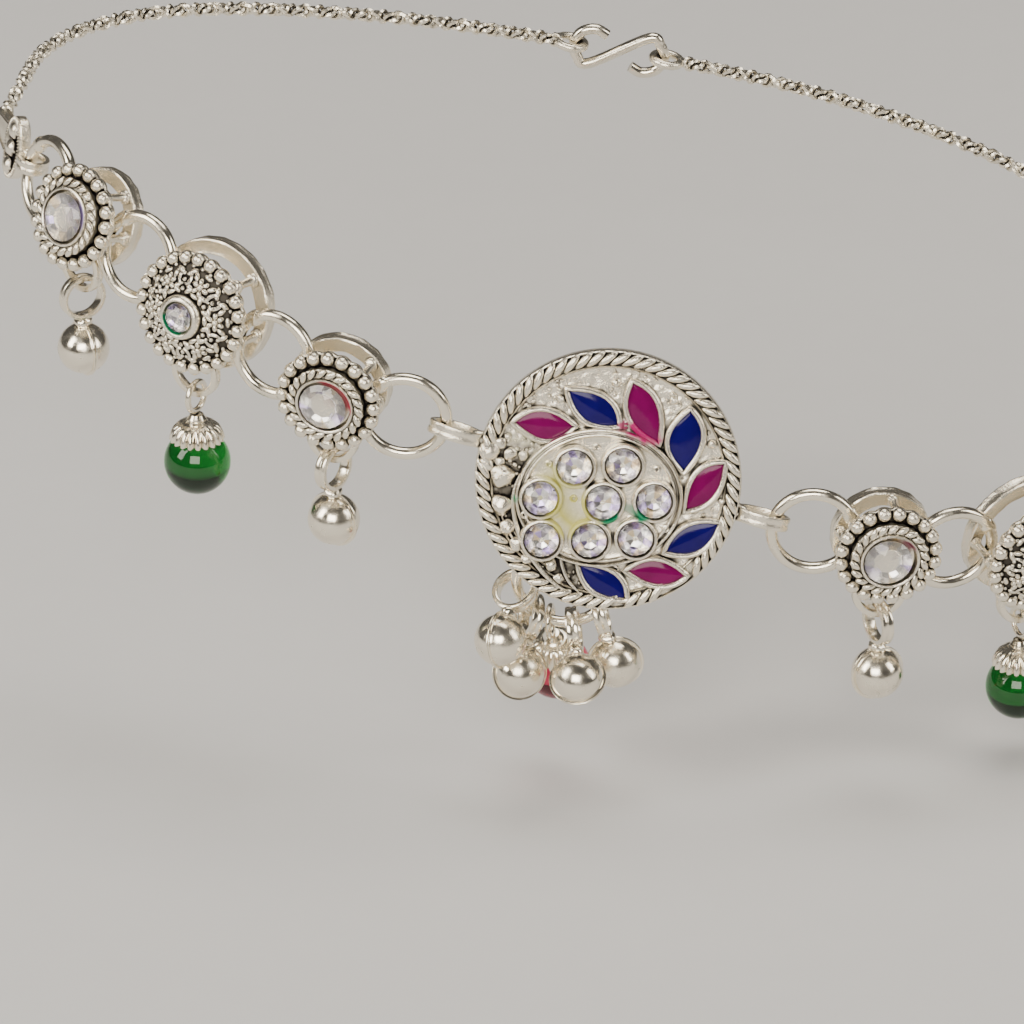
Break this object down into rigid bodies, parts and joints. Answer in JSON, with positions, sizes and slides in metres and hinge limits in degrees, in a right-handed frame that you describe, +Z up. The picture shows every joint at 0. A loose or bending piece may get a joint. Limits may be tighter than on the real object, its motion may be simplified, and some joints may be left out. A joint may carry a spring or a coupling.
{
  "type": "payal anklet",
  "caption": "Silver-tone payal anklet with an enamelled round medallion, domed filigree stations, hanging bells and glass beads, and a rope chain closed by a hook.",
  "frame": {"origin": "centre of the hollow for the ankle, where the anklet is held as it is worn", "axes": "+Z up, the medallion's face looks along -Y, +X is to the right as seen from the front"},
  "size_m": [0.1084, 0.0731, 0.0484],
  "materials": {
    "cast_silver": "bright cast silver-tone metal with dark oxidised recesses",
    "bright_silver": "polished silver-tone metal, softly worn",
    "crystal": "clear foiled faceted crystal",
    "green_glass": "clear green glass",
    "red_glass": "clear pink-red glass",
    "enamel_blue": "glossy royal blue enamel",
    "enamel_magenta": "glossy magenta enamel"
  },
  "bodies": {
    "root": {"medallion": "cast_silver", "medallion_stone_1": "crystal", "medallion_stone_2": "crystal", "medallion_stone_3": "crystal", "medallion_stone_4": "crystal", "medallion_stone_5": "crystal", "medallion_stone_6": "crystal", "medallion_stone_7": "crystal", "medallion_stone_8": "crystal", "station_right_1": "cast_silver", "stone_right_1": "crystal", "drop_ring_right_1": "bright_silver", "bell_right_1": "bright_silver", "station_right_2": "cast_silver", "stone_right_2": "crystal", "drop_ring_right_2": "bright_silver", "green_right_2_cap": "bright_silver", "green_right_2_bead": "green_glass", "station_right_3": "cast_silver", "stone_right_3": "crystal", "drop_ring_right_3": "bright_silver", "bell_right_3": "bright_silver", "link_right_1": "bright_silver", "link_right_2": "bright_silver", "link_right_3": "bright_silver", "link_right_4": "bright_silver", "end_chain_right": "cast_silver", "station_left_1": "cast_silver", "stone_left_1": "crystal", "drop_ring_left_1": "bright_silver", "bell_left_1": "bright_silver", "station_left_2": "cast_silver", "stone_left_2": "crystal", "drop_ring_left_2": "bright_silver", "green_left_2_cap": "bright_silver", "green_left_2_bead": "green_glass", "station_left_3": "cast_silver", "stone_left_3": "crystal", "drop_ring_left_3": "bright_silver", "bell_left_3": "bright_silver", "link_left_1": "bright_silver", "link_left_2": "bright_silver", "link_left_3": "bright_silver", "link_left_4": "bright_silver", "end_chain_left": "cast_silver", "clasp_hook": "bright_silver", "cluster_ring": "bright_silver", "bell_cluster_1": "bright_silver", "bell_cluster_2": "bright_silver", "bell_cluster_3": "bright_silver", "bell_cluster_4": "bright_silver", "red_cap": "bright_silver", "red_bead": "red_glass"}
  },
  "joints": []
}
